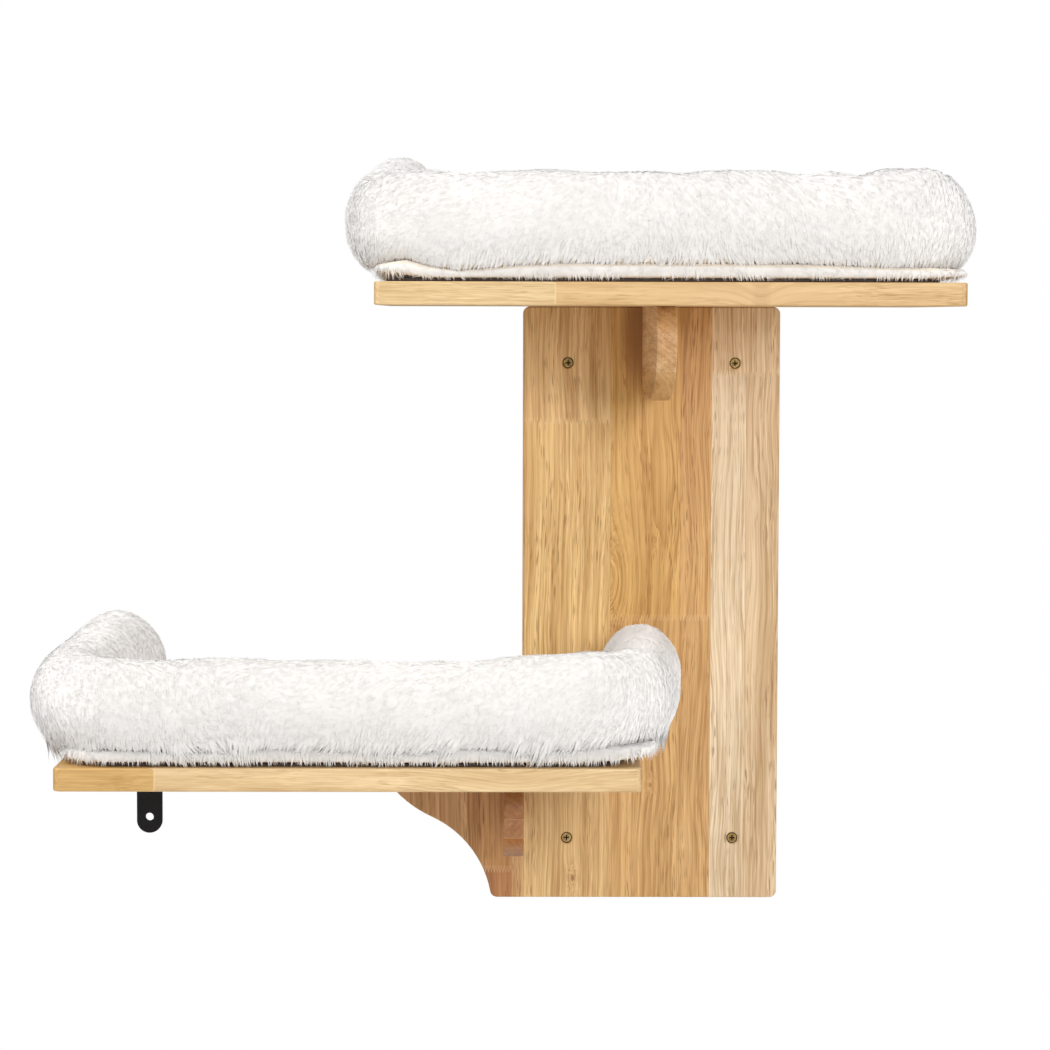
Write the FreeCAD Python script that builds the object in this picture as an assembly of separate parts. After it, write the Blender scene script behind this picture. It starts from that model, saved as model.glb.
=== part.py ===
"""Wall-hung cat perch: a wooden backboard with two shelves and a plush bed on each shelf.

Millimetres. The origin is the centre of the four wall screws on the wall plane, which is the
backboard's back face. X runs to the right, Y into the wall and Z up.
"""

import FreeCAD, Part
import math
import os

from FreeCAD import Vector

# Backboard
board_width = 220.0
board_thickness = 18.0
board_corner_radius = 6.0
wall_screw_span_x = 143.0
wall_screw_top_margin = 48.0
wall_screw_bottom_margin = 52.0

# Ogee wing at the backboard's lower left, which carries the lower shelf on its ledge
wing_reach = 134.0
wing_drop = 139.0  # from the ledge down to the backboard's bottom edge
wing_foot_offset = 26.5
wing_foot_lean = 7.4  # degrees between the ogee and the vertical, at its foot and at its tip
wing_tip_lean = 12.7

# Shelves
shelf_width = 450.0
shelf_depth = 300.0
shelf_thickness = 18.0
shelf_corner_radius = 6.0
shelf_spacing = 371.0
lower_shelf_overlap = 90.0  # how far the lower shelf runs across the backboard
notch_clearance = 0.3

# Gussets under the shelves
gusset_thickness = 16.0
gusset_depth = 230.0
gusset_height = 76.5
gusset_nose_radius = 32.0
gusset_nose_rise = 57.5  # degrees from the nose's foremost point up to the shelf
gusset_belly_radius = 220.0

# Easing of the wooden edges that show
wood_edge_radius = 1.5

# Countersunk wall screws
wall_screw_length = 60.0
wall_screw_radius = 2.5
wall_screw_shank_radius = 1.8
wall_screw_head_radius = 4.7
wall_screw_sink = 0.8

# Countersunk screws that join the wooden pieces
joint_screw_length = 50.0
joint_screw_radius = 2.5
joint_screw_shank_radius = 1.8
joint_screw_shank_length = 20.0
joint_screw_head_radius = 5.0
joint_screw_sink = 0.4
upper_shelf_screw_offset = 50.0
ledge_screw_offsets = (35.0, 95.0)  # from the backboard's left edge
notch_screw_offsets = (25.0, 65.0)
gusset_screw_depths = (62.0, 162.0)  # from the backboard's front face
gusset_screw_drops = (20.0, 60.0)  # below the shelf

# Cross recess and point of every screw
recess_width = 1.2
recess_span = 4.4
recess_depth = 1.5
screw_point_length = 8.0
screw_tip_radius = 0.4
screw_clearance = 0.1

# Wooden dowels between shelves and backboard
dowel_radius = 4.0
dowel_in_shelf = 12.0
dowel_in_board = 18.0
dowel_chamfer = 1.0
dowel_clearance = 0.1
dowel_end_room = 1.0
upper_dowel_offset = 95.0
ledge_dowel_offsets = (64.0, 118.0)  # from the backboard's left edge

# Steel angle bracket under the lower shelf's free end
bracket_width = 22.0
bracket_thickness = 3.0
bracket_wall_leg = 86.0
bracket_shelf_leg = 90.0
bracket_bend_radius = 2.0
bracket_end_offset = 37.0  # from the shelf's end to the bracket's middle
bracket_wall_hole_radius = 3.5
bracket_hole_margin = 14.0
bracket_screw_pitch = 40.0
bracket_screw_radius = 2.0
bracket_screw_length = 15.0
bracket_screw_head_radius = 4.0
bracket_screw_head_height = 2.4
bracket_screw_head_round = 0.8
bracket_screw_play = 0.25

# Plush beds
bed_width = 518.0
bed_front_overhang = 16.0
bed_wall_gap = 20.0
bed_seat_gap = 0.3
upper_bed_shift = -3.0
lower_bed_shift = 1.5
base_thickness = 2.0
base_inset = 8.0
pad_edge_height = 11.0
pad_edge_round = 3.0
pad_rim = 14.0  # from the roll's centre line to the pad's edge
pad_front_corner_radius = 34.0
pad_back_gap = 4.0
pad_back_corner_radius = 20.0
pad_crown = 14.0
pad_crown_gap = 1.0
pad_crown_corner_radius = 20.0
roll_radius = 36.5
roll_axis_height = 34.5
roll_corner_radius = 60.0
arm_end_radius = 44.0
cover_thickness = 3.0
filling_clearance = 0.3

# Places worked out from the driving dimensions
board_left = -board_width / 2
board_right = board_width / 2
board_front = -board_thickness
board_height = shelf_spacing + wing_drop
wall_screw_span_z = board_height - wall_screw_top_margin - wall_screw_bottom_margin
board_top = wall_screw_span_z / 2 + wall_screw_top_margin
board_bottom = board_top - board_height
board_middle = -board_thickness / 2
upper_shelf_top = board_top + shelf_thickness
ledge_height = board_top - shelf_spacing
lower_shelf_top = ledge_height + shelf_thickness
lower_shelf_right = board_left + lower_shelf_overlap
lower_shelf_left = lower_shelf_right - shelf_width
upper_gusset_x = 0.0
lower_gusset_x = board_left - gusset_thickness / 2
bracket_x = lower_shelf_left + bracket_end_offset

DOWN = Vector(0, 0, -1)
UP = Vector(0, 0, 1)
FORWARD = Vector(0, -1, 0)
INTO_WALL = Vector(0, 1, 0)


def line(start, end):
    return Part.LineSegment(start, end).toShape()


def arc(start, middle, end):
    return Part.Arc(start, middle, end).toShape()


def prism(edges, direction):
    return Part.Face(Part.Wire(edges)).extrude(direction)


def turned(points):
    """Solid of revolution about Z from (radius, height) points that start and end on the axis."""
    outline = [Vector(radius, 0, height) for radius, height in points]
    face = Part.Face(Part.makePolygon(outline + outline[:1]))
    return face.revolve(Vector(), UP, 360)


def aimed(shape, place, direction):
    """Copy of a shape drawn head up at the origin, moved to a place and pointed along a direction."""
    copy = shape.copy()
    copy.Placement = FreeCAD.Placement(place, FreeCAD.Rotation(DOWN, direction)) * copy.Placement
    return copy


def group(shape, places):
    return Part.makeCompound([aimed(shape, place, direction) for place, direction in places])


def along(shape, axis):
    """Straight edges of a shape that run along an axis."""
    found = []
    for edge in shape.Edges:
        run = edge.Vertexes[-1].Point - edge.Vertexes[0].Point
        if edge.Curve.TypeId == "Part::GeomLine" and run.cross(axis).Length < 1e-6:
            found.append(edge)
    return found


def at_level(shape, axis, level):
    """Edges of a shape that lie in the plane at a level along an axis."""
    found = []
    for edge in shape.Edges:
        points = edge.discretize(5)
        if all(abs(point.dot(axis) - level) < 1e-6 for point in points):
            found.append(edge)
    return found


def rounded_block(low, high, corner_radius, front_radius=None):
    """Upright block with rounded plan corners; the two front ones can have their own radius."""
    size = high - low
    block = Part.makeBox(size.x, size.y, size.z, low)
    if front_radius is None:
        return block.makeFillet(corner_radius, along(block, UP))
    front = [edge for edge in along(block, UP) if abs(edge.Vertexes[0].Y - low.y) < 1e-6]
    block = block.makeFillet(front_radius, front)
    back = [edge for edge in along(block, UP) if abs(edge.Vertexes[0].Y - high.y) < 1e-6]
    return block.makeFillet(corner_radius, back)


def countersunk_screw(length, radius, shank_radius, shank_length, head_radius, sink):
    """Screw whose panel surface is at height 0: a sunk head, a plain shank, a thicker thread, a point."""
    point_start = -(length - screw_point_length)
    neck = -(sink + head_radius - shank_radius)
    screw = turned([
        (0, -sink),
        (head_radius, -sink),
        (shank_radius, neck),
        (shank_radius, -shank_length),
        (radius, -shank_length),
        (radius, point_start),
        (screw_tip_radius, -length),
        (0, -length),
    ])
    return screw.cut(cross_recess(-sink))


def countersunk_hole(length, radius, head_radius, sink):
    """Room for a countersunk screw: its clearance hole and its countersink."""
    wide = head_radius + sink + screw_clearance
    narrow = radius + screw_clearance
    return turned([
        (0, sink),
        (wide, sink),
        (wide, 0),
        (narrow, narrow - wide),
        (narrow, -length - screw_clearance),
        (0, -length - screw_clearance),
    ])


def cross_recess(top):
    """Cross-shaped driver recess, cut down from the top of a screw head."""
    long_bar = Part.makeBox(recess_span, recess_width, recess_depth)
    long_bar.translate(Vector(-recess_span / 2, -recess_width / 2, top - recess_depth))
    cross_bar = long_bar.copy()
    cross_bar.rotate(Vector(), UP, 90)
    return long_bar.fuse(cross_bar)


def pan_screw():
    """Pan-head screw with its head standing above height 0."""
    head_top = bracket_screw_head_height
    head = Part.makeCylinder(bracket_screw_head_radius, head_top)
    head = head.makeFillet(bracket_screw_head_round, at_level(head, UP, head_top))
    shank = turned([
        (0, 0),
        (bracket_screw_radius, 0),
        (bracket_screw_radius, -(bracket_screw_length - screw_point_length)),
        (screw_tip_radius, -bracket_screw_length),
        (0, -bracket_screw_length),
    ])
    return head.fuse(shank).removeSplitter().cut(cross_recess(head_top))


def dowel():
    """Chamfered dowel whose joint line between shelf and backboard is at height 0."""
    end = dowel_radius - dowel_chamfer
    return turned([
        (0, dowel_in_shelf),
        (end, dowel_in_shelf),
        (dowel_radius, dowel_in_shelf - dowel_chamfer),
        (dowel_radius, dowel_chamfer - dowel_in_board),
        (end, -dowel_in_board),
        (0, -dowel_in_board),
    ])


def dowel_hole():
    depth = dowel_in_shelf + dowel_in_board + 2 * dowel_end_room
    hole = Part.makeCylinder(dowel_radius + dowel_clearance, depth)
    hole.translate(Vector(0, 0, -dowel_in_board - dowel_end_room))
    return hole


# Where each group of fasteners goes: the place of its height 0 and the way it points
wall_screw_places = [
    (Vector(x, board_front, z), INTO_WALL)
    for x in (-wall_screw_span_x / 2, wall_screw_span_x / 2)
    for z in (-wall_screw_span_z / 2, wall_screw_span_z / 2)
]
upper_shelf_screw_places = [
    (Vector(x, board_middle, upper_shelf_top), DOWN)
    for x in (-upper_shelf_screw_offset, upper_shelf_screw_offset)
]
ledge_screw_places = [
    (Vector(board_left - offset, board_middle, lower_shelf_top), DOWN)
    for offset in ledge_screw_offsets
]
notch_screw_places = [
    (Vector(board_left + offset, 0, ledge_height + shelf_thickness / 2), FORWARD)
    for offset in notch_screw_offsets
]
lower_shelf_screw_places = ledge_screw_places + notch_screw_places
upper_dowel_places = [
    (Vector(x, board_middle, board_top), DOWN) for x in (-upper_dowel_offset, upper_dowel_offset)
]
lower_dowel_places = [
    (Vector(board_left - offset, board_middle, ledge_height), DOWN)
    for offset in ledge_dowel_offsets
]
bracket_screw_places = [
    (Vector(bracket_x, y, ledge_height - bracket_thickness), UP)
    for y in (
        bracket_hole_margin - bracket_shelf_leg,
        bracket_hole_margin + bracket_screw_pitch - bracket_shelf_leg,
    )
]


def gusset_screw_places(x, shelf_underside):
    """Screws down through the shelf and forward through the backboard into one gusset."""
    from_above = [
        (Vector(x, board_front - depth, shelf_underside + shelf_thickness), DOWN)
        for depth in gusset_screw_depths
    ]
    from_behind = [
        (Vector(x, 0, shelf_underside - drop), FORWARD) for drop in gusset_screw_drops
    ]
    return from_above + from_behind


upper_gusset_screw_places = gusset_screw_places(upper_gusset_x, board_top)
lower_gusset_screw_places = gusset_screw_places(lower_gusset_x, ledge_height)

wall_screw = countersunk_screw(
    wall_screw_length,
    wall_screw_radius,
    wall_screw_shank_radius,
    board_thickness,
    wall_screw_head_radius,
    wall_screw_sink,
)
wall_hole = countersunk_hole(
    wall_screw_length, wall_screw_radius, wall_screw_head_radius, wall_screw_sink
)
joint_screw = countersunk_screw(
    joint_screw_length,
    joint_screw_radius,
    joint_screw_shank_radius,
    joint_screw_shank_length,
    joint_screw_head_radius,
    joint_screw_sink,
)
joint_hole = countersunk_hole(
    joint_screw_length, joint_screw_radius, joint_screw_head_radius, joint_screw_sink
)


def leaning(degrees):
    """Upward direction that leans out to the left of the vertical."""
    return Vector(-math.sin(math.radians(degrees)), 0, math.cos(math.radians(degrees)))


def tangent_arc(start, corner, end):
    """Arc between two points whose end tangents, of equal length, meet at a corner."""
    middle = (start + end) / 2
    flatness = (end - start).Length / 2 / (corner - start).Length
    return arc(start, middle + (corner - middle) * (flatness / (1 + flatness)), end)


def ogee(foot, tip):
    """Hollow and belly of the wing: two arcs with equal tangents between its foot and its tip."""
    foot_run = leaning(wing_foot_lean)
    tip_run = leaning(wing_tip_lean)
    rise = tip - foot
    advance = rise.dot(foot_run + tip_run)
    turn = 2 * (1 - foot_run.dot(tip_run))
    tangent = rise.dot(rise) / (advance + math.sqrt(advance**2 + turn * rise.dot(rise)))
    low_corner = foot + foot_run * tangent
    high_corner = tip - tip_run * tangent
    touch = (low_corner + high_corner) / 2
    return [tangent_arc(foot, low_corner, touch), tangent_arc(touch, high_corner, tip)]


def arc_middle(centre, radius, start, end):
    """Point (x, z) halfway along the shorter arc between two points of a circle."""
    middle_x = (start[0] + end[0]) / 2 - centre[0]
    middle_z = (start[1] + end[1]) / 2 - centre[1]
    grow = radius / math.hypot(middle_x, middle_z)
    return (centre[0] + middle_x * grow, centre[1] + middle_z * grow)


def make_backboard():
    """Board with the ogee wing, rounded corners, eased front edges and its screw and dowel holes."""
    corners = [
        Vector(board_left - wing_reach, 0, ledge_height),
        Vector(board_left, 0, ledge_height),
        Vector(board_left, 0, board_top),
        Vector(board_right, 0, board_top),
        Vector(board_right, 0, board_bottom),
        Vector(board_left - wing_foot_offset, 0, board_bottom),
    ]
    edges = [line(start, end) for start, end in zip(corners, corners[1:])]
    edges += ogee(corners[-1], corners[0])
    board = prism(edges, Vector(0, board_front, 0))
    rounded = [
        edge
        for edge in along(board, INTO_WALL)
        for corner in corners[2:]
        if corner.distanceToLine(edge.Vertexes[0].Point, INTO_WALL) < 1e-6
    ]
    board = board.makeFillet(board_corner_radius, rounded)
    board = board.makeFillet(wood_edge_radius, at_level(board, INTO_WALL, board_front))
    board = board.cut(group(wall_hole, wall_screw_places))
    joints = (
        upper_shelf_screw_places
        + lower_shelf_screw_places
        + upper_gusset_screw_places
        + lower_gusset_screw_places
    )
    board = board.cut(group(joint_hole, joints))
    return board.cut(group(dowel_hole(), upper_dowel_places + lower_dowel_places))


def shelf_board(left, underside):
    """Plain shelf with rounded plan corners and eased edges, its back edge on the wall plane."""
    low = Vector(left, -shelf_depth, underside)
    high = Vector(left + shelf_width, 0, underside + shelf_thickness)
    shelf = rounded_block(low, high, shelf_corner_radius)
    faces = at_level(shelf, UP, low.z) + at_level(shelf, UP, high.z)
    return shelf.makeFillet(wood_edge_radius, faces)


def make_upper_shelf():
    shelf = shelf_board(-shelf_width / 2, board_top)
    shelf = shelf.cut(group(joint_hole, upper_shelf_screw_places + upper_gusset_screw_places))
    return shelf.cut(group(dowel_hole(), upper_dowel_places))


def make_lower_shelf():
    """Shelf on the wing's ledge, notched at its back right round the backboard."""
    shelf = shelf_board(lower_shelf_left, ledge_height)
    notch_left = board_left - notch_clearance
    notch = Part.makeBox(
        lower_shelf_right - notch_left,
        board_thickness,
        shelf_thickness,
        Vector(notch_left, board_front, ledge_height),
    )
    shelf = shelf.cut(notch)
    shelf = shelf.cut(group(joint_hole, lower_shelf_screw_places + lower_gusset_screw_places))
    shelf = shelf.cut(group(dowel_hole(), lower_dowel_places))
    pilot = Part.makeCylinder(
        bracket_screw_radius + screw_clearance, bracket_screw_length + screw_clearance
    )
    pilot.translate(Vector(0, 0, -bracket_screw_length - screw_clearance))
    return shelf.cut(group(pilot, bracket_screw_places))


def make_gusset(x, shelf_underside, screw_places):
    """Bracket board with a round nose that runs on into a long belly and a level bottom edge."""
    rise = math.radians(gusset_nose_rise)
    nose_x = gusset_depth - gusset_nose_radius
    nose_z = -gusset_nose_radius * math.sin(rise)
    top_x = nose_x + gusset_nose_radius * math.cos(rise)
    belly_z = gusset_belly_radius - gusset_height
    inside = gusset_belly_radius - gusset_nose_radius
    belly_x = nose_x - math.sqrt(inside**2 - (belly_z - nose_z) ** 2)
    grow = gusset_belly_radius / inside
    touch = (belly_x + (nose_x - belly_x) * grow, belly_z + (nose_z - belly_z) * grow)
    bottom = (belly_x, -gusset_height)
    belly_middle = arc_middle((belly_x, belly_z), gusset_belly_radius, touch, bottom)
    left = x - gusset_thickness / 2

    def at(depth, height):
        return Vector(left, board_front - depth, shelf_underside + height)

    edges = [
        line(at(0, 0), at(top_x, 0)),
        arc(at(top_x, 0), at(gusset_depth, nose_z), at(*touch)),
        arc(at(*touch), at(*belly_middle), at(*bottom)),
        line(at(*bottom), at(0, -gusset_height)),
        line(at(0, -gusset_height), at(0, 0)),
    ]
    gusset = prism(edges, Vector(gusset_thickness, 0, 0))
    sides = at_level(gusset, Vector(1, 0, 0), left)
    sides += at_level(gusset, Vector(1, 0, 0), left + gusset_thickness)
    shown = [
        edge
        for edge in sides
        if edge.BoundBox.YMin < board_front - 1e-6 and edge.BoundBox.ZMin < shelf_underside - 1e-6
    ]
    gusset = gusset.makeFillet(wood_edge_radius, shown)
    return gusset.cut(group(joint_hole, screw_places))


def strip_leg(start, direction, length, normal):
    """One leg of the bracket: a strip with a round free end."""
    side = Vector(bracket_width / 2, 0, 0)
    end = start + direction * (length - bracket_width / 2)
    tip = start + direction * length
    edges = [
        line(start - side, start + side),
        line(start + side, end + side),
        arc(end + side, tip, end - side),
        line(end - side, start - side),
    ]
    return prism(edges, normal * bracket_thickness)


def make_steel_angle():
    """Flat steel strip bent to an angle, with round ends, one wall hole and two shelf holes."""
    bend = bracket_bend_radius + bracket_thickness
    wall_start = Vector(bracket_x, 0, ledge_height - bend)
    shelf_start = Vector(bracket_x, -bend, ledge_height)
    wall_leg = strip_leg(wall_start, DOWN, bracket_wall_leg - bend, FORWARD)
    shelf_leg = strip_leg(shelf_start, FORWARD, bracket_shelf_leg - bend, DOWN)
    side = Vector(bracket_width / 2, 0, 0)
    through = FORWARD * bracket_thickness
    corners = [wall_start - side, wall_start + side]
    corners += [wall_start + side + through, wall_start - side + through]
    section = Part.Face(Part.makePolygon(corners + corners[:1]))
    elbow = section.revolve(Vector(bracket_x, -bend, ledge_height - bend), Vector(1, 0, 0), 90)
    angle = wall_leg.multiFuse([elbow, shelf_leg]).removeSplitter()
    hole_height = ledge_height - bracket_wall_leg + bracket_hole_margin
    wall_hole_start = Vector(bracket_x, 0, hole_height)
    angle = angle.cut(
        Part.makeCylinder(bracket_wall_hole_radius, bracket_thickness, wall_hole_start, FORWARD)
    )
    shelf_hole = Part.makeCylinder(bracket_screw_radius + bracket_screw_play, bracket_thickness)
    shelf_hole.translate(DOWN * bracket_thickness)
    return angle.cut(group(shelf_hole, bracket_screw_places))


# Places within a bed: X from the bed's middle, Y as in the frame, height 0 on the pad's edge
bed_front = -shelf_depth - bed_front_overhang
bed_back = -bed_wall_gap
pad_back = bed_back - pad_back_gap
roll_half_span = bed_width / 2 - arm_end_radius
roll_front = bed_front + roll_radius
pad_half_width = roll_half_span + pad_rim
pad_front = roll_front - pad_rim


def roll_solid(inset):
    """Stuffed roll along the front and both sides, drawn in all over by an inset, cut flat below."""
    radius = roll_radius - inset
    end_radius = arm_end_radius - inset
    corner_x = roll_half_span - roll_corner_radius
    corner_y = roll_front + roll_corner_radius
    arm_length = bed_back - arm_end_radius - corner_y
    front_start = Vector(-corner_x, roll_front, roll_axis_height)
    front = Part.makeCylinder(radius, 2 * corner_x, front_start, Vector(1, 0, 0))
    pieces = []
    for side in (-1, 1):
        start = Vector(side * roll_half_span, corner_y, roll_axis_height)
        disc = Part.Face(Part.Wire(Part.makeCircle(radius, start, FORWARD)))
        pieces.append(disc.revolve(Vector(side * corner_x, corner_y, 0), UP, -90 * side))
        middle = end_radius * math.sqrt(0.5)
        wide = start + Vector(end_radius, arm_length, 0)
        round_end = start + Vector(middle, arm_length + middle, 0)
        tip = start + Vector(0, arm_length + end_radius, 0)
        profile = [
            line(start, start + Vector(radius, 0, 0)),
            line(start + Vector(radius, 0, 0), wide),
            arc(wide, round_end, tip),
            line(tip, start),
        ]
        pieces.append(Part.Face(Part.Wire(profile)).revolve(start, INTO_WALL, 360))
    roll = front.multiFuse(pieces).removeSplitter()
    room = roll.BoundBox
    below = Part.makeBox(
        room.XLength, room.YLength, inset - room.ZMin, Vector(room.XMin, room.YMin, room.ZMin)
    )
    return roll.cut(below)


def make_pad():
    """Boxed pad with a crowned middle that fills the nest between the rolls."""
    slab = rounded_block(
        Vector(-pad_half_width, pad_front, -pad_edge_height),
        Vector(pad_half_width, pad_back, 0),
        pad_back_corner_radius,
        pad_front_corner_radius,
    )
    rims = at_level(slab, UP, -pad_edge_height) + at_level(slab, UP, 0)
    slab = slab.makeFillet(pad_edge_round, rims)
    half_width = roll_half_span - arm_end_radius - pad_crown_gap
    crown_front = roll_front + roll_radius + pad_crown_gap
    crown_back = pad_back - pad_edge_round
    middle = (crown_front + crown_back) / 2
    block = rounded_block(
        Vector(-half_width, crown_front, 0),
        Vector(half_width, crown_back, pad_crown),
        pad_crown_corner_radius,
    )
    reach = math.hypot(half_width, crown_back - middle)
    dome_radius = (reach**2 + pad_crown**2) / (2 * pad_crown)
    dome = Part.makeSphere(dome_radius, Vector(0, middle, pad_crown - dome_radius))
    return slab.fuse(block.common(dome)).removeSplitter()


def make_base():
    """Non-slip cloth under the pad."""
    return rounded_block(
        Vector(base_inset - pad_half_width, pad_front + base_inset, -pad_edge_height - base_thickness),
        Vector(pad_half_width - base_inset, pad_back - base_inset, -pad_edge_height),
        pad_back_corner_radius - base_inset,
        pad_front_corner_radius - base_inset,
    )


def make_bed(name, middle_x, shelf_top):
    """One bed's pieces, laid on a shelf."""
    pad_edge_top = shelf_top + bed_seat_gap + base_thickness + pad_edge_height
    pieces = {
        name + "_base_cloth": make_base(),
        name + "_pad": make_pad(),
        name + "_bolster": roll_solid(0).cut(roll_solid(cover_thickness)),
        name + "_filling": roll_solid(cover_thickness + filling_clearance),
    }
    for piece in pieces.values():
        piece.translate(Vector(middle_x, 0, pad_edge_top))
    return pieces


parts = {
    "backboard": make_backboard(),
    "upper_shelf": make_upper_shelf(),
    "lower_shelf": make_lower_shelf(),
    "upper_gusset": make_gusset(upper_gusset_x, board_top, upper_gusset_screw_places),
    "lower_gusset": make_gusset(lower_gusset_x, ledge_height, lower_gusset_screw_places),
    "steel_angle": make_steel_angle(),
    "wall_screws": group(wall_screw, wall_screw_places),
    "upper_shelf_screws": group(joint_screw, upper_shelf_screw_places),
    "lower_shelf_screws": group(joint_screw, lower_shelf_screw_places),
    "upper_gusset_screws": group(joint_screw, upper_gusset_screw_places),
    "lower_gusset_screws": group(joint_screw, lower_gusset_screw_places),
    "steel_angle_screws": group(pan_screw(), bracket_screw_places),
    "upper_shelf_dowels": group(dowel(), upper_dowel_places),
    "lower_shelf_dowels": group(dowel(), lower_dowel_places),
}
parts.update(make_bed("upper_bed", upper_bed_shift, upper_shelf_top))
lower_shelf_middle = (lower_shelf_left + lower_shelf_right) / 2
parts.update(make_bed("lower_bed", lower_shelf_middle + lower_bed_shift, lower_shelf_top))

os.makedirs("parts", exist_ok=True)
for name, shape in parts.items():
    shape.exportStep(os.path.join("parts", name + ".step"))
    print(name, len(shape.Solids), round(shape.Volume / 1000, 2), "cm3", shape.isValid())
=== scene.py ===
"""Looks of a wall-hung cat perch: finger-jointed wood, dark steel and two white plush beds."""

import math

import bpy
import numpy as np
from mathutils import Matrix, Vector


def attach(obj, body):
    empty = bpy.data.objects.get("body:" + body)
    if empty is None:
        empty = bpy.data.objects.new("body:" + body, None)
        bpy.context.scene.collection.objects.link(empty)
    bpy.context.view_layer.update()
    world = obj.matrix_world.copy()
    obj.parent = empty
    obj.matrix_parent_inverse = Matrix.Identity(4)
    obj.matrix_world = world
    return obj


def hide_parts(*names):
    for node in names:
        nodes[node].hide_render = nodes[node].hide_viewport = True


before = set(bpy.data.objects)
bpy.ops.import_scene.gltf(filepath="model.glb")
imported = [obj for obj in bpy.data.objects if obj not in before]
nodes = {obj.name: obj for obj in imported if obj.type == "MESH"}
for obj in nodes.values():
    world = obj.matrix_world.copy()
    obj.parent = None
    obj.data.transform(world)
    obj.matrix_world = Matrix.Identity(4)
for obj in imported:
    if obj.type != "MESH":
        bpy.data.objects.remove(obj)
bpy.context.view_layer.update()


# Small helpers

def only(obj):
    """Deselects everything else and makes one object active."""
    bpy.ops.object.select_all(action="DESELECT")
    obj.select_set(True)
    bpy.context.view_layer.objects.active = obj


def apply_modifier(obj, kind, **settings):
    """Adds a modifier, sets it up and applies it at once."""
    only(obj)
    modifier = obj.modifiers.new(kind.lower(), kind)
    for name, value in settings.items():
        setattr(modifier, name, value)
    bpy.ops.object.modifier_apply(modifier=modifier.name)


def points_of(obj):
    """Places of a mesh's points, one row each."""
    places = np.empty(len(obj.data.vertices) * 3)
    obj.data.vertices.foreach_get("co", places)
    return places.reshape(-1, 3)


def set_points(obj, places):
    """Moves a mesh's points to new places."""
    obj.data.vertices.foreach_set("co", np.asarray(places).ravel())
    obj.data.update()


def select_edges(obj, wanted):
    """Selects the edges whose two end points pass a test, and leaves the object in edit mode."""
    only(obj)
    bpy.ops.object.mode_set(mode="EDIT")
    bpy.ops.mesh.select_mode(type="EDGE")
    bpy.ops.mesh.select_all(action="DESELECT")
    bpy.ops.object.mode_set(mode="OBJECT")
    ends = points_of(obj)
    for edge in obj.data.edges:
        edge.select = bool(wanted(*(ends[index] for index in edge.vertices)))
    bpy.ops.object.mode_set(mode="EDIT")


# Shader helpers

class Tree:
    """Adds nodes to one node tree and links what is passed in as inputs."""

    def __init__(self, tree):
        self.tree = tree

    def add(self, kind, inputs=None, **settings):
        node = self.tree.nodes.new(kind)
        for name, value in settings.items():
            setattr(node, name, value)
        for key, value in (inputs or {}).items():
            self.put(node.inputs[key], value)
        return node

    def put(self, socket, value):
        if isinstance(value, bpy.types.NodeSocket):
            self.tree.links.new(value, socket)
        else:
            socket.default_value = value

    def math(self, operation, first, second=0.0, third=0.0, clamp=False):
        node = self.add("ShaderNodeMath", operation=operation, use_clamp=clamp)
        for socket, value in zip(node.inputs, (first, second, third)):
            self.put(socket, value)
        return node.outputs[0]

    def vector(self, operation, first, second=(0.0, 0.0, 0.0)):
        node = self.add("ShaderNodeVectorMath", {0: first, 1: second}, operation=operation)
        return node.outputs["Value" if operation in ("LENGTH", "DOT_PRODUCT") else "Vector"]

    def combine(self, x, y, z):
        return self.add("ShaderNodeCombineXYZ", {"X": x, "Y": y, "Z": z}).outputs[0]

    def noise(self, vector, scale, detail=2.0, roughness=0.5):
        node = self.add(
            "ShaderNodeTexNoise",
            {"Vector": vector, "Scale": scale, "Detail": detail, "Roughness": roughness},
        )
        return node.outputs["Fac"]

    def span(self, value, low, high, to_low=0.0, to_high=1.0):
        node = self.add(
            "ShaderNodeMapRange",
            {"Value": value, 1: low, 2: high, 3: to_low, 4: to_high},
            clamp=True,
        )
        return node.outputs[0]

    def mix(self, amount, first, second, blend="MIX"):
        node = self.add("ShaderNodeMix", data_type="RGBA", blend_type=blend)
        for key, value in ((0, amount), (6, first), (7, second)):
            self.put(node.inputs[key], value)
        return node.outputs[2]

    def steps(self, value, stops):
        """Stepped ramp: each stop is where a colour begins, and the colour."""
        node = self.add("ShaderNodeValToRGB", {"Fac": value})
        ramp = node.color_ramp
        ramp.interpolation = "CONSTANT"
        while len(ramp.elements) < len(stops):
            ramp.elements.new(0.5)
        for element, (place, colour) in zip(ramp.elements, stops):
            element.position = place
            element.color = colour
        return node.outputs["Color"]

    def bump(self, height, strength, distance, normal=None):
        inputs = {"Height": height, "Strength": strength, "Distance": distance}
        if normal is not None:
            inputs["Normal"] = normal
        return self.add("ShaderNodeBump", inputs).outputs["Normal"]


def colour(red, green, blue):
    """Linear colour with full alpha from 8-bit sRGB."""
    linear = []
    for part in (red, green, blue):
        share = part / 255
        linear.append(share / 12.92 if share <= 0.04045 else ((share + 0.055) / 1.055) ** 2.4)
    return (*linear, 1.0)


def new_group(name, inputs, outputs):
    """Empty shader node group with named sockets; returns it with its tree, inputs and output node."""
    group = bpy.data.node_groups.new(name, "ShaderNodeTree")
    for socket, kind in inputs:
        group.interface.new_socket(socket, in_out="INPUT", socket_type="NodeSocket" + kind)
    for socket, kind in outputs:
        group.interface.new_socket(socket, in_out="OUTPUT", socket_type="NodeSocket" + kind)
    tree = Tree(group)
    start = tree.add("NodeGroupInput")
    end = tree.add("NodeGroupOutput")
    return group, tree, start.outputs, end


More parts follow.
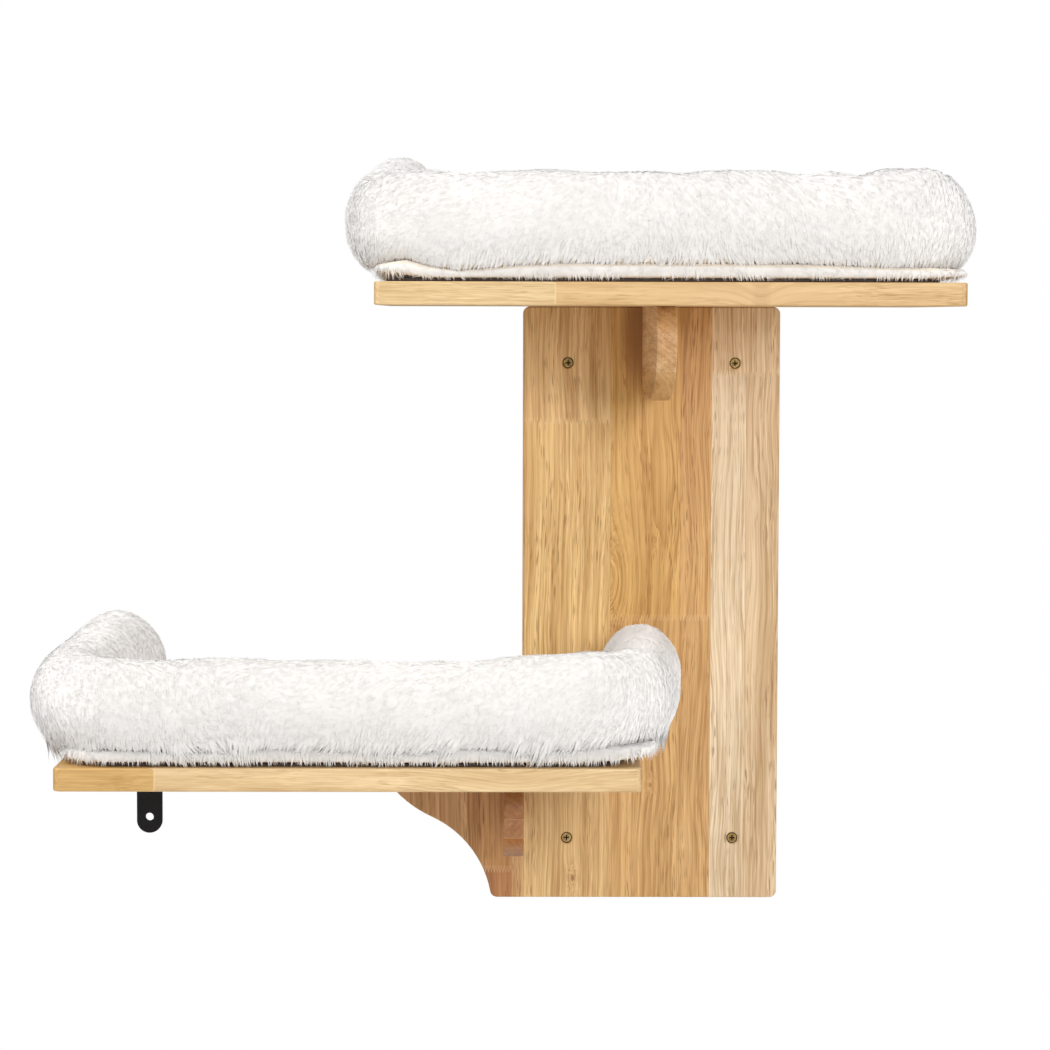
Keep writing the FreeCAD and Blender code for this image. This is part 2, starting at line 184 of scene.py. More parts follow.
def new_material(name, **constants):
    """Material with one Principled shader; constants go straight onto its sockets."""
    material = bpy.data.materials.new(name)
    material.use_nodes = True
    tree = Tree(material.node_tree)
    shader = material.node_tree.nodes["Principled BSDF"]
    for socket, value in constants.items():
        shader.inputs[socket.replace("_", " ").title().replace("Ior", "IOR")].default_value = value
    return material, tree, shader


# Wood: one grain group for every board

RINGS_PER_METRE = 220.0
RING_WANDER = 0.018
PITH_DEPTH = 0.035


def wood_grain_group():
    """Growth rings round a far-off pith, fine fibres and short dark vessels of one block of wood."""
    group, tree, given, end = new_group(
        "wood_grain",
        [("Across", "Float"), ("Along", "Float"), ("Depth", "Float"), ("Seed", "Float")],
        [("Rings", "Float"), ("Fibre", "Float"), ("Vessels", "Float"), ("Cloud", "Float")],
    )
    seed = given["Seed"]
    far = tree.math("MULTIPLY", seed, 37.0)
    slow = tree.combine(
        tree.math("MULTIPLY", given["Across"], 14.0),
        tree.math("MULTIPLY", given["Along"], 5.5),
        tree.math("ADD", tree.math("MULTIPLY", given["Depth"], 14.0), far),
    )
    drift = tree.math("SUBTRACT", tree.noise(slow, 1.0, 2.0), 0.5)
    wander = tree.math("MULTIPLY", drift, RING_WANDER)
    pith_across = tree.math("MULTIPLY", tree.math("SINE", tree.math("MULTIPLY", seed, 91.0)), 0.045)
    pith_lean = tree.math("MULTIPLY", tree.math("COSINE", tree.math("MULTIPLY", seed, 53.0)), 0.035)
    side = tree.math("ADD", tree.math("SUBTRACT", given["Across"], pith_across), wander)
    rise = tree.math("MULTIPLY_ADD", given["Along"], pith_lean, given["Depth"])
    rise = tree.math("ADD", tree.math("ADD", rise, PITH_DEPTH), wander)
    radius = tree.vector("LENGTH", tree.combine(side, rise, 0.0))
    saw = tree.math("FRACT", tree.math("MULTIPLY", radius, RINGS_PER_METRE))
    early = tree.span(saw, 0.0, 0.82)
    late = tree.span(saw, 0.88, 1.0, 1.0, 0.0)
    rings = tree.math("MULTIPLY", tree.math("POWER", early, 2.6), late)

    def streaks(across_scale, along_scale, detail):
        place = tree.combine(
            tree.math("MULTIPLY", tree.math("ADD", given["Across"], wander), across_scale),
            tree.math("MULTIPLY", given["Along"], along_scale),
            tree.math("ADD", tree.math("MULTIPLY", given["Depth"], across_scale), far),
        )
        return tree.noise(place, 1.0, detail, 0.6)

    fibre = tree.math("ADD", streaks(720.0, 12.0, 3.0), streaks(1500.0, 26.0, 1.0))
    busy = tree.span(streaks(45.0, 4.0, 1.0), 0.3, 0.7, 0.35, 1.45)
    fibre = tree.math("MULTIPLY_ADD", tree.math("SUBTRACT", fibre, 1.0), busy, 1.0)
    fibre = tree.span(fibre, 0.7, 1.3)
    vessels = tree.span(streaks(1150.0, 66.0, 0.0), 0.6, 0.72)
    sparse = tree.span(streaks(90.0, 8.0, 1.0), 0.4, 0.62)
    cloud = streaks(105.0, 3.5, 2.0)
    for name, value in (
        ("Rings", rings),
        ("Fibre", fibre),
        ("Vessels", tree.math("MULTIPLY", vessels, sparse)),
        ("Cloud", cloud),
    ):
        tree.put(end.inputs[name], value)
    return group


def knot_group():
    """Grain that swells and bends round one knot, and its dark middle, which on the backboard also
    makes a broad patch of partly painted shade.
    """
    group, tree, given, end = new_group(
        "knot",
        [
            (name, "Float")
            for name in ("Across", "Along", "Place Across", "Place Along", "Width", "Height")
        ],
        [("Swell", "Float"), ("Bend", "Float"), ("Heart And Shade", "Float")],
    )
    away = tree.math("SUBTRACT", given["Across"], given["Place Across"])
    side = tree.math("DIVIDE", away, given["Width"])
    rise = tree.math("SUBTRACT", given["Along"], given["Place Along"])
    rise = tree.math("DIVIDE", rise, given["Height"])
    square = tree.math("ADD", tree.math("MULTIPLY", side, side), tree.math("MULTIPLY", rise, rise))
    swell = tree.math("DIVIDE", 1.0, tree.math("POWER", tree.math("ADD", square, 1.0), 2.0))
    tree.put(end.inputs["Swell"], swell)
    tree.put(end.inputs["Bend"], tree.math("MULTIPLY", away, swell))
    tree.put(end.inputs["Heart And Shade"], tree.span(square, 0.02, 0.16, 1.0, 0.0))
    return group


wood_grain = wood_grain_group()
knot = knot_group()

# Finger joints and glue lines, in metres
TOOTH_PITCH = 0.0025
TOOTH_LENGTH = 0.0055
TOOTH_EDGE = 0.0009
GLUE_HALF_WIDTH = 0.00022
DARK_GLUE = (168, 120, 66)
PALE_GLUE = (226, 186, 136)
JOINT_TONE = (238, 210, 160)

# How strongly each part of the figure shows
RINGS_SHOWN = 0.28
FIBRE_SHOWN = 0.78
CLOUD_SHOWN = 0.4
VESSELS_SHOWN = 0.75
JOINTS_SHOWN = 0.62
GLUE_SHOWN = 0.4
MIDDLE_TONE = 0.45

# What a stave's own tone is multiplied by
PALE_WOOD = (1.2, 1.24, 1.32, 1.0)
DARK_WOOD = (0.66, 0.53, 0.37, 1.0)
VESSEL_WOOD = (0.46, 0.34, 0.28, 1.0)
END_GRAIN = (0.8, 0.72, 0.62, 1.0)


def panel_wood(
    name, across, along, depth, low, high, staves,
    contrast=1.0, knots=(), glue=DARK_GLUE, pith=(0.0, 0.0),
):
    """Wood glued up from staves. Each stave is (where it starts, its finger joint, tones either side).

    The three axes are the letters of Object coordinates. low and high bound the stave starts.
    Each knot is (stave number, place across, place along, width, height, push on the rings, darkness);
    one broad backboard entry is no knot but a dark patch that is partly painted shade.
    pith shifts the middle of the growth rings across and through the board."""
    material, tree, shader = new_material(
        name, coat_weight=0.12, coat_roughness=0.32, specular_ior_level=0.4
    )
    place = tree.add("ShaderNodeTexCoord").outputs["Object"]
    axes = tree.add("ShaderNodeSeparateXYZ", {0: place}).outputs
    width, length, thickness = axes[across], axes[along], axes[depth]

    def ramp_place(value):
        return (value - low) / (high - low)

    def lookup(shift, read):
        share = tree.span(tree.math("ADD", width, shift), low, high)
        stops = [(max(0.0, ramp_place(stave[0])), read(stave)) for stave in staves]
        return tree.steps(share, stops)

    def grey(value):
        return (value, value, value, 1.0)

    joint = lookup(0.0, lambda stave: grey(stave[1] + 0.5))
    joint = tree.math("SUBTRACT", joint, 0.5)
    tooth = tree.math("PINGPONG", width, TOOTH_PITCH / 2)
    tooth = tree.math("MULTIPLY", tooth, TOOTH_LENGTH / (TOOTH_PITCH / 2))
    past = tree.math("ADD", tree.math("SUBTRACT", length, joint), tooth)
    upper = tree.math("GREATER_THAN", past, TOOTH_LENGTH / 2)
    off_joint = tree.math("ABSOLUTE", tree.math("SUBTRACT", past, TOOTH_LENGTH / 2))
    near_joint = tree.span(off_joint, 0.0, TOOTH_EDGE, 1.0, 0.0)
    tone = tree.mix(
        upper,
        lookup(0.0, lambda stave: colour(*stave[2])),
        lookup(0.0, lambda stave: colour(*stave[3])),
    )
    order = {stave[0]: (index + 1) / (len(staves) + 1) for index, stave in enumerate(staves)}

    def index(shift):
        return lookup(shift, lambda stave: grey(order[stave[0]]))

    seed = tree.math("ADD", index(0.0), tree.math("MULTIPLY", upper, 0.437))
    seam = tree.math("SUBTRACT", index(-GLUE_HALF_WIDTH), index(GLUE_HALF_WIDTH))
    seam = tree.math("GREATER_THAN", tree.math("ABSOLUTE", seam), 0.001)
    bent, ringed, dark_hearts_and_shade = width, thickness, 0.0
    for number, place_across, place_along, knot_width, knot_height, push, darkness in knots:
        eye = tree.add(
            "ShaderNodeGroup",
            {
                "Across": width,
                "Along": length,
                "Place Across": place_across,
                "Place Along": place_along,
                "Width": knot_width,
                "Height": knot_height,
            },
            node_tree=knot,
        ).outputs
        own = tree.math("COMPARE", index(0.0), (number + 1) / (len(staves) + 1), 0.03)
        own_push = tree.math("MULTIPLY", own, push)
        bent = tree.math("MULTIPLY_ADD", eye["Bend"], tree.math("MULTIPLY", own_push, -40.0), bent)
        ringed = tree.math("MULTIPLY_ADD", eye["Swell"], own_push, ringed)
        dark_hearts_and_shade = tree.math("MULTIPLY_ADD", eye["Heart And Shade"], tree.math("MULTIPLY", own, darkness), dark_hearts_and_shade)
    bent = tree.math("SUBTRACT", bent, pith[0])
    ringed = tree.math("SUBTRACT", ringed, pith[1])
    grain = tree.add("ShaderNodeGroup", node_tree=wood_grain)
    for socket, value in (("Across", bent), ("Along", length), ("Depth", ringed), ("Seed", seed)):
        tree.put(grain.inputs[socket], value)
    rings, fibre, vessels, cloud = (
        grain.outputs[socket] for socket in ("Rings", "Fibre", "Vessels", "Cloud")
    )
    pale = tree.mix(1.0, tone, PALE_WOOD, "MULTIPLY")
    dark = tree.mix(1.0, tone, DARK_WOOD, "MULTIPLY")
    vessel = tree.mix(1.0, tone, VESSEL_WOOD, "MULTIPLY")
    figure = tree.math("MULTIPLY_ADD", rings, RINGS_SHOWN, tree.math("MULTIPLY", fibre, FIBRE_SHOWN))
    figure = tree.math("ADD", figure, tree.span(cloud, 0.25, 0.75, -CLOUD_SHOWN, CLOUD_SHOWN))
    figure = tree.math("SUBTRACT", figure, MIDDLE_TONE)
    figure = tree.math("MULTIPLY_ADD", figure, contrast, MIDDLE_TONE, clamp=True)
    wood = tree.mix(figure, pale, dark)
    wood = tree.mix(tree.math("MULTIPLY", vessels, VESSELS_SHOWN * contrast), wood, vessel)
    # Dark knot cores darken the wood here; the backboard's broad patch beside the upper gusset is
    # partly darker wood and partly painted shade.
    if knots:
        wood = tree.mix(dark_hearts_and_shade, wood, vessel)
    wood = tree.mix(tree.math("MULTIPLY", near_joint, JOINTS_SHOWN), wood, colour(*JOINT_TONE))
    wood = tree.mix(tree.math("MULTIPLY", seam, GLUE_SHOWN), wood, colour(*glue))
    normal = tree.add("ShaderNodeNewGeometry").outputs["Normal"]
    facing = tree.add("ShaderNodeSeparateXYZ", {0: normal}).outputs[along]
    end_grain = tree.span(tree.math("ABSOLUTE", facing), 0.55, 0.95)
    end_tone = tree.mix(1.0, wood, END_GRAIN, "MULTIPLY")
    wood = tree.mix(end_grain, wood, end_tone)
    tree.put(shader.inputs["Base Color"], wood)
    rough = tree.span(fibre, 0.0, 1.0, 0.36, 0.5)
    rough = tree.math("MULTIPLY_ADD", vessels, 0.2, rough)
    tree.put(shader.inputs["Roughness"], rough)
    height = tree.math("SUBTRACT", tree.math("MULTIPLY", fibre, 0.35), vessels)
    height = tree.math("SUBTRACT", height, tree.math("MULTIPLY", seam, 0.8))
    tree.put(shader.inputs["Normal"], tree.bump(height, 0.25, 0.00025))
    return material


X, Y, Z = range(3)

# Tones of single staves, 8-bit sRGB
TAN = (222, 184, 130)
GOLD = (218, 172, 104)
CREAM = (230, 206, 170)
BISCUIT = (224, 195, 154)
STRAW = (234, 206, 156)
BUFF = (226, 192, 138)

backboard_wood = panel_wood(
    "rubberwood_backboard", X, Z, Y, -0.30, 0.15,
    [
        (-0.30, -0.190, (196, 147, 89), (196, 151, 97)),
        (-0.192, -0.160, (203, 157, 102), (186, 136, 82)),
        (-0.158, -0.2325, (174, 118, 68), (188, 137, 79)),
        (-0.120, -0.400, (204, 160, 106), (204, 160, 106)),
        (-0.1095, 0.1548, (232, 195, 133), (224, 185, 127)),
        (-0.0346, -0.0140, (214, 170, 108), (222, 177, 106)),
        (0.0240, -0.0140, (216, 172, 112), (220, 174, 112)),
        (0.0503, 0.1960, CREAM, (231, 202, 159)),
        (0.0800, 0.1960, BISCUIT, (233, 205, 163)),
    ],
    knots=[
        (5, 0.0037, 0.0530, 0.0045, 0.0100, 0.005, 0.4),
        (5, -0.0370, 0.0180, 0.0220, 0.0500, 0.026, 0.0),
        # Broad dark patch atop stave B, left of the upper gusset under the shelf: partly darker wood,
        # partly painted shade of the gusset and shelf.
        (5, -0.0110, 0.2300, 0.0480, 0.1300, 0.0, 0.9),
        (4, -0.0720, -0.2000, 0.1500, 0.3000, 0.0, 0.3),
        (4, -0.0661, -0.2400, 0.0050, 0.0090, 0.006, 0.9),
        (5, 0.0005, -0.1590, 0.0050, 0.0070, 0.006, 0.4),
    ],
)


def shelf_wood(name, front, joints, knots):
    """Shelf of six staves from front to back, each with its own finger joint along X."""
    tones = [front, (TAN, STRAW), (BUFF, CREAM), (STRAW, GOLD), (BISCUIT, BUFF), (BUFF, STRAW)]
    starts = [-0.31, -0.256, -0.204, -0.148, -0.097, -0.045]
    staves = [(start, joint, *pair) for start, joint, pair in zip(starts, joints, tones)]
    return panel_wood(name, Y, X, Z, -0.31, 0.01, staves, 0.5, knots)


upper_shelf_wood = shelf_wood(
    "rubberwood_upper_shelf",
    ((226, 198, 148), (219, 184, 130)),
    [-0.0904, 0.12, -0.15, 0.05, -0.02, 0.17],
    [(0, -0.300, 0.068, 0.010, 0.020, 0.010, 0.2)],
)
lower_shelf_wood = shelf_wood(
    "rubberwood_lower_shelf",
    ((213, 174, 110), (227, 197, 148)),
    [-0.3951, -0.18, -0.33, -0.1, -0.27, -0.15],
    [(0, -0.304, -0.120, 0.012, 0.060, 0.012, 0.0)],
)


def gusset_wood(name, middle, top, drops, tones):
    """Gusset of glued blocks, each starting a drop below its top, with the pith at its middle X."""
    staves = [(top - drop, -0.12, tone, tone) for drop, tone in zip(drops, tones)]
    return panel_wood(
        name, Z, Y, X, top - 0.1, top + 0.02, staves,
        contrast=0.8, glue=PALE_GLUE, pith=(top - 0.05, middle),
    )


upper_gusset_wood = gusset_wood(
    "rubberwood_upper_gusset", 0.0, 0.253,
    [0.1, 0.0515], [(212, 166, 108), (228, 188, 138)],
)
lower_gusset_wood = gusset_wood(
    "rubberwood_lower_gusset", -0.118, -0.118,
    [0.1, 0.0462, 0.0302], [(173, 109, 32), (180, 130, 86), (168, 118, 72)],
)


def dowel_wood():
    """Plain pale wood with its fibres along the dowels."""
    material, tree, shader = new_material("dowel_wood", roughness=0.7, specular_ior_level=0.3)
    place = tree.add("ShaderNodeTexCoord").outputs["Object"]
    stretched = tree.add("ShaderNodeMapping", {"Vector": place, "Scale": (500.0, 500.0, 12.0)})
    fibre = tree.noise(stretched.outputs[0], 1.0, 3.0)
    tone = tree.mix(fibre, colour(226, 192, 140), colour(196, 152, 98))
    tree.put(shader.inputs["Base Color"], tone)
    tree.put(shader.inputs["Normal"], tree.bump(fibre, 0.3, 0.0003))
    return material


# Metals

def worn_group():
    """Fine mottling and broad discolouring for coated metal."""
    group, tree, given, end = new_group(
        "coated_metal",
        [("Fine Scale", "Float"), ("Broad Scale", "Float")],
        [("Fine", "Float"), ("Broad", "Float")],
    )
    place = tree.add("ShaderNodeTexCoord").outputs["Object"]
    tree.put(end.inputs["Fine"], tree.noise(place, given["Fine Scale"], 2.0))
    tree.put(end.inputs["Broad"], tree.noise(place, given["Broad Scale"], 3.0))
    return group


coated_metal = worn_group()


def metal(
    name, low, high, metallic, rough_low, rough_high, grit, fine=2600.0, broad=240.0, shine=0.5
):
    """Coated metal between two tones and two roughnesses; grit is the depth of its fine bumps."""
    material, tree, shader = new_material(name, metallic=metallic, specular_ior_level=shine)
    worn = tree.add(
        "ShaderNodeGroup", {"Fine Scale": fine, "Broad Scale": broad}, node_tree=coated_metal
    ).outputs
    stain = tree.span(worn["Broad"], 0.35, 0.65)
    tree.put(shader.inputs["Base Color"], tree.mix(stain, colour(*low), colour(*high)))
    tree.put(shader.inputs["Roughness"], tree.span(worn["Fine"], 0.3, 0.7, rough_low, rough_high))
    tree.put(shader.inputs["Normal"], tree.bump(worn["Fine"], grit, 0.0002))
    return material


black_steel = metal("black_steel", (8, 6, 7), (14, 11, 12), 0.0, 0.46, 0.6, 0.35, shine=0.25)
plated_steel = metal("plated_steel", (150, 150, 148), (196, 196, 190), 1.0, 0.22, 0.42, 0.12)

# Wall screws: how far each stands from the middle, and where the cross in a head begins
WALL_SCREW_X = 0.0715
WALL_SCREW_Z = 0.205
CROSS_Y = -0.0174


def wall_screw_metal():
    """Bronzed heads: brassy in the middle, with painted shade of the countersink gap at the rim, and
    darker down in the cross.
    """
    material = metal(
        "bronzed_steel", (150, 122, 74), (196, 166, 108), 1.0, 0.3, 0.5, 0.15, fine=4000.0, broad=420.0
    )
    tree = Tree(material.node_tree)
    shader = material.node_tree.nodes["Principled BSDF"]
    place = tree.add("ShaderNodeTexCoord").outputs["Object"]
    axes = tree.add("ShaderNodeSeparateXYZ", {0: place}).outputs
    aside = tree.math("SUBTRACT", tree.math("ABSOLUTE", axes[X]), WALL_SCREW_X)
    above = tree.math("SUBTRACT", tree.math("ABSOLUTE", axes[Z]), WALL_SCREW_Z)
    radius = tree.vector("LENGTH", tree.combine(aside, above, 0.0))
    # The dark rim is painted shade of the countersink gap round the head; below, the head is made
    # darker down in the cross.
    rim = tree.span(radius, 0.0036, 0.0040)
    sunk = tree.span(axes[Y], CROSS_Y, CROSS_Y + 0.0005)
    sunk = tree.math("MULTIPLY", sunk, tree.span(radius, 0.003, 0.0034, 1.0, 0.0))
    brass = shader.inputs["Base Color"].links[0].from_socket
    # Dark brown goes onto the painted rim shade and down into the cross.
    rim_shade_and_dark_cross = tree.math("MAXIMUM", rim, sunk)
    tree.put(shader.inputs["Base Color"], tree.mix(rim_shade_and_dark_cross, brass, colour(44, 32, 20)))
    return material


bronzed_steel = wall_screw_metal()
pale_dowel = dowel_wood()

CAD_FINISHES = {
    "backboard": backboard_wood,
    "upper_shelf": upper_shelf_wood,
    "lower_shelf": lower_shelf_wood,
    "upper_gusset": upper_gusset_wood,
    "lower_gusset": lower_gusset_wood,
    "steel_angle": black_steel,
    "steel_angle_screws": black_steel,
    "wall_screws": bronzed_steel,
    "upper_shelf_screws": plated_steel,
    "lower_shelf_screws": plated_steel,
    "upper_gusset_screws": plated_steel,
    "lower_gusset_screws": plated_steel,
    "upper_shelf_dowels": pale_dowel,
    "lower_shelf_dowels": pale_dowel,
}
for node, finish in CAD_FINISHES.items():
    nodes[node].data.materials.clear()
    nodes[node].data.materials.append(finish)


# Cloth

def plush_material():
    """White pile: paler at the tips of its locks, with faint warm and cool clouds."""
    material, tree, shader = new_material(
        "white_plush",
        diffuse_roughness=1.0,
        roughness=0.95,
        specular_ior_level=0.1,
        sheen_weight=0.25,
        sheen_roughness=0.6,
    )
    tip = tree.add("ShaderNodeAttribute", attribute_name="tip").outputs["Fac"]
    cover = tree.add("ShaderNodeAttribute", attribute_name="cover").outputs["Fac"]
    place = tree.add("ShaderNodeTexCoord").outputs["Object"]
    cloud = tree.noise(place, 22.0, 3.0)
    root = tree.mix(cloud, colour(245, 242, 238), colour(248, 246, 244))
    root = tree.mix(cover, colour(238, 224, 202), root)
    crest = tree.mix(cloud, colour(247, 244, 241), colour(250, 248, 246))
    tree.put(shader.inputs["Base Color"], tree.mix(tip, root, crest))
    nap = tree.noise(place, 900.0, 2.0)
    tree.put(shader.inputs["Normal"], tree.bump(nap, 0.12, 0.0005))
    return material


def base_cloth_material():
    """Dark non-slip cloth with a fine cross weave."""
    material, tree, shader = new_material("base_cloth", roughness=0.9, specular_ior_level=0.2)
    place = tree.add("ShaderNodeTexCoord").outputs["Object"]
    axes = tree.add("ShaderNodeSeparateXYZ", {0: place}).outputs
    warp = tree.math("SINE", tree.math("MULTIPLY", axes[X], 5200.0))
    weft = tree.math("SINE", tree.math("MULTIPLY", axes[Y], 5200.0))
    weave = tree.math("MULTIPLY", warp, weft)
    dust = tree.noise(place, 160.0, 3.0)
    shown = tree.math("ADD", tree.span(weave, -1.0, 1.0, 0.0, 0.6), tree.math("MULTIPLY", dust, 0.4))
    tree.put(shader.inputs["Base Color"], tree.mix(shown, colour(52, 44, 42), colour(104, 92, 88)))
    tree.put(shader.inputs["Normal"], tree.bump(weave, 0.4, 0.0004))
    return material


plush = plush_material()
base_cloth = base_cloth_material()


# Beds

# Heights above the shelf, and places in the shared frame, in metres
UPPER_SHELF_TOP = 0.271
LOWER_SHELF_TOP = -0.100
SEAM_ABOVE_SHELF = 0.0133
PAD_BOTTOM = 0.0027
BASE_BOTTOM = 0.0004
BASE_TOP = 0.0024
ROLL_AXIS = 0.026
ROLL_RADIUS = 0.0295
ROLL_FRONT = -0.2795
ROLL_CORNER = 0.060
ARM_DOME = -0.064
PAD_FRONT = -0.2955
PAD_BACK = -0.026
PAD_CORNER = 0.034
PAD_RIM = 0.014
BASE_FRONT = -0.2905
BASE_BACK = -0.033
BASE_CORNER = 0.030
NEST_FRONT = -0.246
NEST_INSET = 0.044
VOXEL = 0.005
ROLL_SIDES = 20
SEAM_OVERLAP = 0.0016
CREST_HEIGHT = 0.05
WAVE_START = -0.15
WAVE_FADE = 0.1

# Stuffing: air pressure, frames simulated, and how far a roll or pad may swell
PRESSURE = 4.0
FRAMES = 20
ROLL_SWELL = 0.007
PAD_SWELL = 0.013
SEWN_EDGE = 0.003
SEWN_BOTTOM = 0.005
LUMP_HEIGHT = 0.005
LUMP_SIZE = 0.07

# Pile: locks per square metre, their length, how much each strays from the comb,
# then the heights and margins between which its cover changes
PILE_DENSITY = 280000.0
PILE_LENGTH = 0.0085
ROLL_UNREST = 0.22
PAD_UNREST = 0.3
FRINGE_TOP = 0.0075
NEST_MARGIN = 0.012
SIDE_PILE = 0.032
HANGING_PILE = 0.010
BARE_SEAM = 0.0022
STEEP = 0.75
UPPER_SEED = 11
LOWER_SEED = 29

# Middle and half span of the roll's centre line, how far its section is stretched upwards,
# (radius, rise, shift) of the left and right arm's end, the pad's middle and half width,
# the half width of the cloth under it, how far the roll's pile hangs over the seam,
# then (X, rise) along the front in mm:
# the roll's crest, the seam between roll and pad, and the pad's hem
UPPER_BED = {
    "middle": -0.0043,
    "half_span": 0.2181,
    "stretch": 1.32,
    "arms": ((0.0380, 0.0065, 0.011), (0.0365, 0.0015, 0.0)),
    "pad": (0.0020, 0.2285),
    "base": 0.213,
    "fringe": 0.2,
    "crest": (
        (-182, -0.5), (-172, -1.2), (-160, -2.3), (-141, -0.9), (-23, 0.0),
        (75, 0.0), (98, -4.0), (121, -1.0), (144, -5.0), (163, 0.0),
        (182, 0.5), (201, 1.5), (220, -2.0), (228, -5.0), (236, -7.0),
    ),
    "seam": (
        (-218, 1.1), (-201, 3.2), (-182, -1.2), (-160, -4.0), (-135, -2.0), (-114, 0.6),
        (-83, 1.9), (-15, 2.2), (48, 1.8), (122, 0.8), (182, -1.5), (220, -2.5),
    ),
    "hem": ((-224, 4.0), (-205, 2.5), (-185, 0.0), (190, 0.0), (225, 1.5)),
}
LOWER_BED = {
    "middle": -0.2435,
    "half_span": 0.2265,
    "stretch": 1.245,
    "arms": ((0.0405, 0.0015, 0.0198), (0.0340, -0.0005, 0.006)),
    "pad": (-0.2370, 0.2310),
    "base": 0.209,
    "fringe": 1.0,
    "crest": (
        (-366, -0.4), (-310, 1.0), (-243, 0.0), (-175, 0.0),
        (-152, -2.0), (-111, 2.0), (-65, 4.5), (-46, 4.5),
    ),
    "seam": (
        (-446, 0.0), (-349, 0.0), (-282, 2.6), (-245, 0.0), (-233, 0.8), (-192, -2.0),
        (-159, 1.5), (-91, 0.8), (-23, 3.0), (-8, 5.0),
    ),
    "hem": ((-80, 0.0), (-40, 1.5), (-8, 5.0)),
}


def wave(places, points):
    """Rise in metres along the front of a bed, fading out towards its back."""
    across, rise = np.array(points, dtype=float).T / 1000
    front = np.clip((WAVE_START - places[:, 1]) / WAVE_FADE, 0.0, 1.0)
    return np.interp(places[:, 0], across, rise) * front


def extrude_on(last, station):
    """Extrudes the roll's selected end from one station to the next, turned about Z and resized."""
    place, radius, turn = station
    bpy.ops.mesh.extrude_region_move(TRANSFORM_OT_translate={"value": place - last[0]})
    if turn:
        bpy.ops.transform.rotate(value=-turn, orient_axis="Z", center_override=place)
    share = radius / last[1]
    bpy.ops.transform.resize(value=(share, share, share), center_override=place)


def roll_stations(shape, height):
    """Centre line of the roll from the left arm's end round to the right arm's: place, radius, turn."""
    stations = []
    half_span = shape["half_span"]
    corner_y = ROLL_FRONT + ROLL_CORNER
    dome_steps, arm_steps, corner_steps, front_steps = 4, 4, 6, 8

    def dome(side, order):
        end_radius, rise, shift = shape["arms"][side > 0]
        for step in order:
            angle = math.pi / 2 * step / dome_steps
            place = Vector((side * half_span + shift, ARM_DOME + end_radius * math.sin(angle), rise))
            stations.append((place, end_radius * max(math.cos(angle), 0.12), 0.0))

    def arm(side, order):
        end_radius, rise, shift = shape["arms"][side > 0]
        for step in order:
            share = step / arm_steps
            reach = ARM_DOME + (corner_y - ARM_DOME) * share
            place = Vector((side * half_span + shift * (1 - share), reach, rise * (1 - share)))
            stations.append((place, end_radius + (ROLL_RADIUS - end_radius) * share, 0.0))

    def corner(side, order):
        turn = math.pi / 2 / corner_steps
        for step in order:
            angle = turn * step
            centre = Vector((side * (half_span - ROLL_CORNER), corner_y, 0))
            way = Vector((side * math.cos(angle), -math.sin(angle), 0))
            stations.append((centre + way * ROLL_CORNER, ROLL_RADIUS, turn))

    dome(-1, range(dome_steps, 0, -1))
    arm(-1, range(arm_steps + 1))
    corner(-1, range(1, corner_steps + 1))
    inner = half_span - ROLL_CORNER
    for step in range(1, front_steps + 1):
        place = Vector((inner * (2 * step / front_steps - 1), ROLL_FRONT, 0))
        stations.append((place, ROLL_RADIUS, 0.0))
    corner(1, range(corner_steps - 1, -1, -1))
    arm(1, range(arm_steps - 1, -1, -1))
    dome(1, range(1, dome_steps + 1))
    lift = Vector((shape["middle"], 0, height))
    return [(place + lift, radius, turn) for place, radius, turn in stations]


def model_roll(name, shape, seam):
    """Stuffed U-shaped roll, extruded along its centre line and cut flat at the seam."""
    stations = roll_stations(shape, seam + ROLL_AXIS)
    start, radius, _ = stations[0]
    bpy.ops.object.select_all(action="DESELECT")
    bpy.ops.mesh.primitive_circle_add(
        vertices=ROLL_SIDES,
        radius=radius,
        fill_type="NGON",
        location=start,
        rotation=(math.pi / 2, 0, 0),
    )
    roll = bpy.context.active_object
    roll.name = name
    bpy.ops.object.transform_apply(location=True, rotation=True, scale=True)
    bpy.ops.object.mode_set(mode="EDIT")
    for last, station in zip(stations, stations[1:]):
        extrude_on(last, station)
    bpy.ops.mesh.select_all(action="SELECT")
    bpy.ops.mesh.remove_doubles(threshold=0.0002)
    bpy.ops.mesh.normals_make_consistent(inside=False)
    bpy.ops.transform.resize(value=(1, 1, shape["stretch"]), center_override=(0, 0, seam))
    bpy.ops.mesh.bisect(
        plane_co=(0, 0, seam - SEAM_OVERLAP), plane_no=(0, 0, 1), use_fill=True, clear_inner=True
    )
    bpy.ops.object.mode_set(mode="OBJECT")
    return roll


